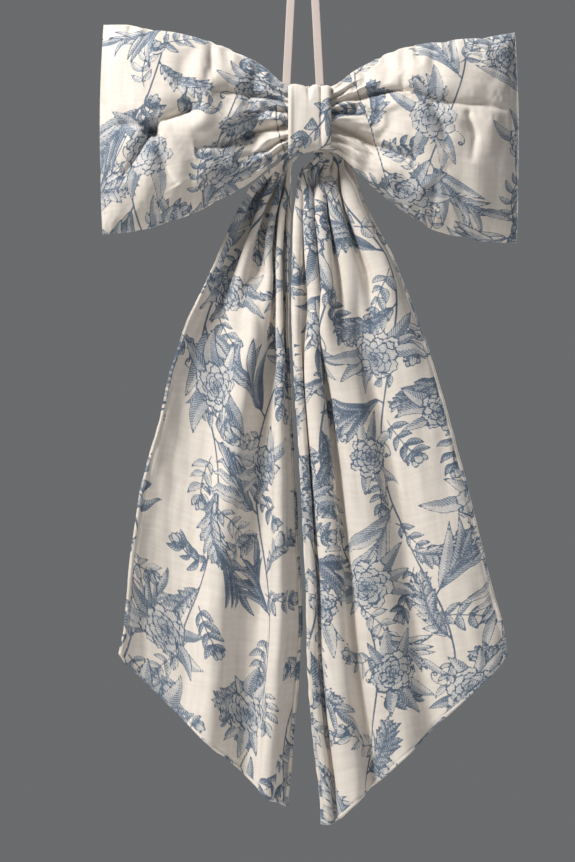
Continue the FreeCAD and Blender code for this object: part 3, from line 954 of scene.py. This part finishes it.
def bow_side(columns, rows, side):
    """The stuffed bow's front (side -1) or back (side 1) as a grid, with its flat cloth."""
    v = eased(rows)[:, None]
    u = BOW_ENDS[0] + (BOW_ENDS[1] - BOW_ENDS[0]) * eased(columns)[None, :]
    ends = smooth(0.55, 1.0, np.abs(u - WAIST_X) / (BOW_ENDS[1] - WAIST_X)) ** 2
    x = u + np.sign(u - WAIST_X) * END_BULGE * ends * np.sin(math.pi * v) ** 0.7
    top = curve_through(BOW_TOP, u[0], 3)[None, :]
    bottom = curve_through(BOW_BOTTOM, u[0], 3)[None, :]
    z = bottom + (top - bottom) * v
    away = np.abs(u - WAIST_X)
    length = np.where(u < WAIST_X, WAIST_X - BOW_ENDS[0], BOW_ENDS[1] - WAIST_X)
    middle = WAIST_Y * (1 - smooth(12, 62, away))
    full = 7.4 + 19.6 * smooth(12, 84, away)
    full = full * np.clip(1 - (away / length) ** 7, 0, 1) ** 0.5
    profile = np.clip(1 - np.abs(2 * v - 1) ** 2.4, 0, 1) ** 0.55
    puff = (full - 1.3 * ridge(length - away, 4.6, 1.3)) * profile
    if side > 0:  # the tails lie against the loops' backs near the waist and keep them flatter there
        puff *= (1 - 0.6 * smooth(88, 40, away) * smooth(0.62, 0.22, v))
    pleats = 2.6 * np.cos(TAU * (6.5 * v + 0.35 * np.sin(TAU * v * 1.5 + side)))
    pleats = pleats * smooth(62, 20, away) * (0.3 + 0.7 * smooth(9, 22, away))
    if side < 0:
        pull = crease_depth(x, z)
    else:
        pull = 0.75 * crease_depth(2 * WAIST_X - x, z * 0.985 - 4.0)
    edge = np.minimum(np.minimum(v, 1 - v) * (top - bottom), (length - away))
    pull = pull * smooth(0, 16, edge) * np.clip(puff / 16, 0, 1)
    cloth_place = (u + 0 * v, (top - bottom) * v)
    pucker = 0.9 * ripples(*cloth_place, 31 + side, 10, 7, 15, 3.0) * np.exp(-edge / 9) * smooth(0, 3, edge)
    soft = 0.8 * ripples(*cloth_place, 41 + side, 9, 18, 46, 1.2) * smooth(4, 18, edge)
    y = middle + side * (puff - pull + pleats * profile + pucker + soft)
    grid = np.stack([x, y, z], axis=2)
    height = (top - bottom) * (1 + 0.3 * smooth(110, 10, away)) * 1.12
    flat = np.stack([(u - WAIST_X) * 1.12 + 0 * v, (v - 0.5) * height], axis=2)
    return grid, flat


BOW_COLUMNS, BOW_ROWS = 321, 161
BOW_CLOTH = 0.6
PLUMP_CLOTH = {
    "quality": 6,
    "mass": 0.25,
    "tension_stiffness": 20,
    "compression_stiffness": 20,
    "shear_stiffness": 6,
    "bending_stiffness": 0.08,
    "use_pressure": True,
    "uniform_pressure_force": 5.0,
    "shrink_min": -0.07,
    "vertex_group_mass": "held",
}
PLUMP_FRAMES = 22
PLUMP_COLUMNS, PLUMP_ROWS = 107, 54
PLUMP_LIMIT = 8.0  # the most that the filling may move the cloth
PLUMP_SHARE = (0.45, 0.9, 0.45)  # the part it keeps: its cut size holds it more across than outwards


def resampled(field, rows, columns):
    """A coarse grid of values made finer by smooth steps between its points."""
    for axis, count in ((0, rows), (1, columns)):
        old = field.shape[axis]
        place = np.linspace(0, old - 1, count)
        base = np.clip(np.floor(place).astype(int), 0, old - 2)
        t = (place - base).reshape([-1 if i == axis else 1 for i in range(field.ndim)])
        a, b, c, d = [np.take(field, np.clip(base + k, 0, old - 1), axis=axis) for k in (-1, 0, 1, 2)]
        field = b + 0.5 * t * (c - a + t * (2 * a - 5 * b + 4 * c - d + t * (3 * (b - c) + d - a)))
    return field


def plumped(front, back):
    """How far the filling's pressure moves a coarse bow's front and back, by cloth simulation."""
    rows, columns = front.shape[:2]
    count = rows * columns
    index = np.arange(count).reshape(rows, columns)
    behind = index + count
    behind[0], behind[-1], behind[:, 0], behind[:, -1] = index[0], index[-1], index[:, 0], index[:, -1]
    used, number = np.unique(np.concatenate([index.ravel(), behind.ravel()]), return_inverse=True)
    start = np.concatenate([front.reshape(-1, 3), back.reshape(-1, 3)])[used]
    number = number.reshape(2, rows, columns)
    pillow = mesh_object("plumping", start, grid_faces(number[0]) + grid_faces(number[1], True))
    held = pillow.vertex_groups.new(name="held")
    hold = smooth(30, 15, np.abs(start[:, 0] - WAIST_X))
    for i in np.nonzero(hold > 0)[0]:
        held.add([int(i)], float(hold[i]), "REPLACE")
    cloth = pillow.modifiers.new("cloth", "CLOTH")
    for label, value in PLUMP_CLOTH.items():
        setattr(cloth.settings, label, value)
    cloth.settings.effector_weights.gravity = 0
    cloth.point_cache.frame_start, cloth.point_cache.frame_end = 1, PLUMP_FRAMES
    scene = bpy.context.scene
    for step in range(1, PLUMP_FRAMES + 1):
        scene.frame_set(step)
    depsgraph = bpy.context.evaluated_depsgraph_get()
    shaped = pillow.evaluated_get(depsgraph).data
    moved = np.empty(len(start) * 3, np.float32)
    shaped.vertices.foreach_get("co", moved)
    move = moved.reshape(-1, 3) / MM - start
    far = np.linalg.norm(move, axis=1, keepdims=True)
    move *= np.tanh(far / PLUMP_LIMIT) * PLUMP_LIMIT / np.maximum(far, 1e-9)
    mesh = pillow.data
    bpy.data.objects.remove(pillow)
    bpy.data.meshes.remove(mesh)
    scene.frame_set(1)
    return move[number[0]], move[number[1]]


def bow_surfaces():
    """The bow's front and back grids and their flat cloth, plumped by the filling."""
    front, flat_front = bow_side(BOW_COLUMNS, BOW_ROWS, -1)
    back, flat_back = bow_side(BOW_COLUMNS, BOW_ROWS, 1)
    coarse = [bow_side(PLUMP_COLUMNS, PLUMP_ROWS, side)[0] for side in (-1, 1)]
    for grid, move in zip((front, back), plumped(*coarse)):
        grid += resampled(move, BOW_ROWS, BOW_COLUMNS) * np.array(PLUMP_SHARE)
    return front, flat_front, back, flat_back


def bow_panels(front, flat_front, back, flat_back):
    """Front and back of the bow, sewn together round the rim, each a cloth slab over the wadding."""
    panels = (
        (-1, "bow_front_panel", front, flat_front, (945.0, 118.0)),
        (1, "bow_back_panel", back, flat_back, (945.0, 330.0)),
    )
    for side, node, grid, flat, place in panels:
        facing = np.sign(normals_of(grid)[..., 1].mean()) * side
        piece = cloth_slab(node, grid, flat + np.array(place), BOW_CLOTH, printed_linen, facing)
        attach(piece, "bow")
        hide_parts(node)


def waddings(front, back):
    """The fibre filling of each loop, just inside its cover."""
    middle = (front + back) / 2
    half = (front - back) / 2
    thin = np.abs(half[..., 1:2])
    half = half * np.clip((thin - 1.5) / np.maximum(thin, 0.1), 0.02, 1)
    for name, first, last in (("left_loop_wadding", 4, 62), ("right_loop_wadding", 98, 157)):
        inset = (slice(3, -3), slice(first, last))
        near, far = (middle + half)[inset], (middle - half)[inset]
        index = np.arange(near[..., 0].size).reshape(near.shape[:2])
        faces = grid_faces(index) + grid_faces(index + index.size, True)
        rim = np.concatenate([index[0, :], index[1:, -1], index[-1, -2::-1], index[-2:0:-1, 0]])
        following = np.roll(rim, -1)
        faces += np.stack([following, rim, rim + index.size, following + index.size], axis=1).tolist()
        points = np.concatenate([near.reshape(-1, 3), far.reshape(-1, 3)])
        piece = mesh_object(name, points, faces, None, wadding_fibre)
        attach(piece, "bow")
        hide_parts(name)


bow_front, bow_front_flat, bow_back, bow_back_flat = bow_surfaces()
bow_panels(bow_front, bow_front_flat, bow_back, bow_back_flat)
waddings(bow_front[::2, ::2], bow_back[::2, ::2])


# ---------------------------------------------------------------- the knot band

BAND_LEFT, BAND_RIGHT = -11.1, 20.9
BAND_WALL = 1.5
BAND_HALF_DEEP = 11.2
LAP_THICK = 1.8
LAP_FOOT, LAP_HEAD = (-131.6, -130.4), (-112.6, -113.8)  # where the lap on the back starts and is full
BAND_TOP = (
    (-11.1, -101.2), (-6.0, -100.0), (0.0, -101.6), (4.0, -103.4), (7.5, -101.0), (14.0, -101.6),
    (20.9, -102.2),
)
BAND_BOTTOM = (
    (-11.1, -153.6), (-7.0, -154.6), (-2.0, -153.2), (4.0, -151.2), (9.0, -149.6), (14.0, -148.6),
    (20.9, -147.8),
)


def knot_band():
    """A folded strip of the same cloth drawn tight round the waist, rolled at its right edge."""
    across, around = 129, 321
    s = np.linspace(0, 1, across)[None, :]
    a = np.linspace(0, TAU, around)[:, None]
    x = BAND_LEFT + (BAND_RIGHT - BAND_LEFT) * s
    top = curve_through(BAND_TOP, x[0], 5)[None, :]
    bottom = curve_through(BAND_BOTTOM, x[0], 5)[None, :]
    middle, tall = (top + bottom) / 2, (top - bottom) / 2
    up, out = rounded(np.cos(a), 0.62), rounded(np.sin(a), 0.62)
    front = smooth(-0.2, 0.6, out)
    right_roll = 1.5 * ridge(x, 17.6, 2.9) - 1.0 * ridge(x, 13.4, 1.1)
    left_roll = 0.7 * ridge(x, -9.3, 2.0) - 0.15 * ridge(x, -6.4, 1.4)
    sag = 0.42 * np.sin(x / 5.3 + 1.1 * np.cos(a)) * np.cos(a) ** 2
    sag = sag + 0.2 * np.sin(x / 3.1 - 1.6 * np.cos(a) + 1.0)
    lump = 1.5 * ridge(x, 10.5, 3.6) * ridge(a, 0.55, 0.35)
    notch = -2.2 * ridge(x, 4.4, 1.6) * ridge(a, 0.5, 0.45)
    dimple = -1.2 * ridge(x, -1.0, 3.4) * ridge(a, 2.4, 0.3)
    tuck = np.clip(np.minimum(s, 1 - s) * (BAND_RIGHT - BAND_LEFT) / 2.4, 0, 1)
    edge = -1.6 * (1 - np.sqrt(np.clip(1 - (1 - tuck) ** 2, 0, 1)))
    relief = (right_roll + left_roll) * (0.35 + 0.65 * front) + sag * 0.7 + lump + notch + dimple + edge
    relief = relief + 0.12 * ripples(x + 0 * a, a * 16.0 + 0 * x, 77, 10, 7.0, 15.0, 1.0)
    z = middle + up * (tall + relief * 0.6)
    lap = smooth(*LAP_FOOT, z) * smooth(*LAP_HEAD, z) * smooth(0.5, 0.9, -out)
    y = WAIST_Y - out * (BAND_HALF_DEEP + LAP_THICK * lap + relief) + 0 * x
    y = np.minimum(y, -0.9 + 1.6 * lap)
    grid = np.stack([x + 0 * a, y, z], axis=2)
    run = a / TAU * 128.0
    flat = np.stack([x + 0 * a, run + 0 * x], axis=2) + np.array((860.0, 470.0))
    outwards = np.stack([0 * y, y - WAIST_Y, z - middle], axis=2)
    facing = np.sign((normals_of(grid) * outwards).sum(axis=2).mean())
    piece = cloth_slab("knot_band", grid, flat, BAND_WALL, printed_linen, facing)
    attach(piece, "bow")
    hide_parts("knot_band")


knot_band()


# ---------------------------------------------------------------- thread and stitches


def node_tree(name, numbers, vectors=()):
    """An empty geometry tree with named inputs, and its input and output nodes."""
    tree = bpy.data.node_groups.new(name, "GeometryNodeTree")
    for label, value in numbers:
        kind = "NodeSocketInt" if isinstance(value, int) else "NodeSocketFloat"
        tree.interface.new_socket(label, in_out="INPUT", socket_type=kind).default_value = value
    for label, value in vectors:
        tree.interface.new_socket(label, in_out="INPUT", socket_type="NodeSocketVector").default_value = value
    tree.interface.new_socket("Geometry", in_out="OUTPUT", socket_type="NodeSocketGeometry")
    return tree, tree.nodes.new("NodeGroupInput"), tree.nodes.new("NodeGroupOutput")


def finish_tree(tree, shape, out, material):
    """End a tree in Realize Instances and Set Material."""
    realize = add_node(tree, "GeometryNodeRealizeInstances", {"Geometry": shape})
    finish = {"Geometry": realize.outputs[0], "Material": material}
    paint = add_node(tree, "GeometryNodeSetMaterial", finish)
    tree.links.new(paint.outputs[0], out.inputs["Geometry"])


def thread_along(tree, line, radius):
    """A round thread along a curve socket."""
    circle = add_node(tree, "GeometryNodeCurvePrimitiveCircle", {"Resolution": 8, "Radius": radius})
    parts = {"Fill Caps": True, "Curve": line, "Profile Curve": circle.outputs["Curve"]}
    return add_node(tree, "GeometryNodeCurveToMesh", parts).outputs[0]


def build_stitch_row():
    """Equal slanted stitches in a row from First to Last."""
    numbers = (("Count", 7), ("Radius", 0.00035), ("Bow", 0.0004))
    vectors = (("First", (0, 0, 0)), ("Last", (0.01, 0, 0)), ("Reach", (0, 0, -0.002)), ("Out", (0, 1, 0)))
    tree, given, out = node_tree("stitch_row", numbers, vectors)
    size = given.outputs
    ends = {"Count": size["Count"], "Start Location": size["First"], "Offset": size["Last"]}
    row = add_node(tree, "GeometryNodeMeshLine", ends, mode="END_POINTS")
    half = add_node(tree, "ShaderNodeVectorMath", {0: size["Reach"], "Scale": 0.5}, operation="SCALE")
    rise = add_node(tree, "ShaderNodeVectorMath", {0: size["Out"], "Scale": size["Bow"]}, operation="SCALE")
    crest = add_node(tree, "ShaderNodeVectorMath", {0: half.outputs[0], 1: rise.outputs[0]}, operation="ADD")
    bend = {"Resolution": 8, "Start": (0, 0, 0), "Middle": crest.outputs[0], "End": size["Reach"]}
    loop = add_node(tree, "GeometryNodeCurveQuadraticBezier", bend)
    stitch = thread_along(tree, loop.outputs[0], size["Radius"])
    place = add_node(tree, "GeometryNodeInstanceOnPoints", {"Points": row.outputs[0], "Instance": stitch})
    finish_tree(tree, place.outputs[0], out, thread_cotton)
    return tree


def build_thread_turns():
    """Turns of thread wound round an upright gathered neck."""
    numbers = (("Turns", 3.0), ("Rise", 0.003), ("Radius", 0.0004), ("Neck", 0.007))
    tree, given, out = node_tree("thread_turns", numbers, (("Middle", (0, 0, 0)), ("Stretch", (1, 1, 1))))
    size = given.outputs
    turns = {"Resolution": 48, "Rotations": size["Turns"], "Height": size["Rise"]}
    turns.update({"Start Radius": size["Neck"], "End Radius": size["Neck"]})
    winding = add_node(tree, "GeometryNodeCurveSpiral", turns)
    placing = {"Geometry": winding.outputs[0], "Scale": size["Stretch"], "Translation": size["Middle"]}
    shape = add_node(tree, "GeometryNodeTransform", placing)
    finish_tree(tree, thread_along(tree, shape.outputs[0], size["Radius"]), out, thread_cotton)
    return tree


def grown(name, tree, **sizes):
    """The plain mesh that a geometry tree makes with the given sizes."""
    carrier = bpy.data.objects.new(name, bpy.data.meshes.new(name))
    bpy.context.scene.collection.objects.link(carrier)
    modifier = carrier.modifiers.new("grow", "NODES")
    modifier.node_group = tree
    for item in tree.interface.items_tree:
        if item.in_out == "INPUT" and item.name in sizes:
            modifier[item.identifier] = sizes[item.name]
    depsgraph = bpy.context.evaluated_depsgraph_get()
    mesh = bpy.data.meshes.new_from_object(carrier.evaluated_get(depsgraph))
    carrier.modifiers.remove(modifier)
    carrier.data = mesh
    mesh.name = name
    mesh.polygons.foreach_set("use_smooth", np.ones(len(mesh.polygons), bool))
    return carrier


NECK_THREAD = 0.0004  # half the thread's thickness, in metres
stitch_row, thread_turns = build_stitch_row(), build_thread_turns()


def thread_piece(piece, body, node):
    """Thread that rides on a body and stands for a CAD node."""
    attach(piece, body)
    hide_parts(node)


def sewing():
    """The lap's slanted stitches and the two neck windings."""
    low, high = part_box("band_closing_stitches")
    row = grown(
        "band_closing_stitches",
        stitch_row,
        Count=15,
        First=(low[0], high[1], high[2]),
        Last=(high[0] - 0.001, high[1], high[2]),
        Reach=(0.0011, 0, low[2] - high[2]),
        Radius=0.00028,
        Bow=0.0005,
    )
    thread_piece(row, "bow", "band_closing_stitches")
    for side in ("left", "right"):
        node = f"{side}_tail_gather_thread"
        low, high = [np.array(p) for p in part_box(node)]
        middle = (low + high) / 2
        half = (high - low) / 2
        winding = grown(
            node,
            thread_turns,
            Turns=5.0,
            Rise=high[2] - low[2] - 0.0006,
            Radius=NECK_THREAD,
            Neck=half[0] - NECK_THREAD,
            Middle=(middle[0], middle[1], low[2] + 0.0003),
            Stretch=(1.0, float((half[1] - NECK_THREAD) / (half[0] - NECK_THREAD)), 1.0),
        )
        thread_piece(winding, f"{side}_neck", node)


sewing()

for node, material in (
    ("waist_gather_thread", thread_cotton),
    ("turning_gap_stitches", thread_cotton),
    ("tail_tack_stitches", thread_cotton),
    ("ribbon_tack_stitches", thread_cotton),
    ("ribbon_ends", ribbon_plain),
):
    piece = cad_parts[node]
    for slot in piece.material_slots:
        slot.material = material
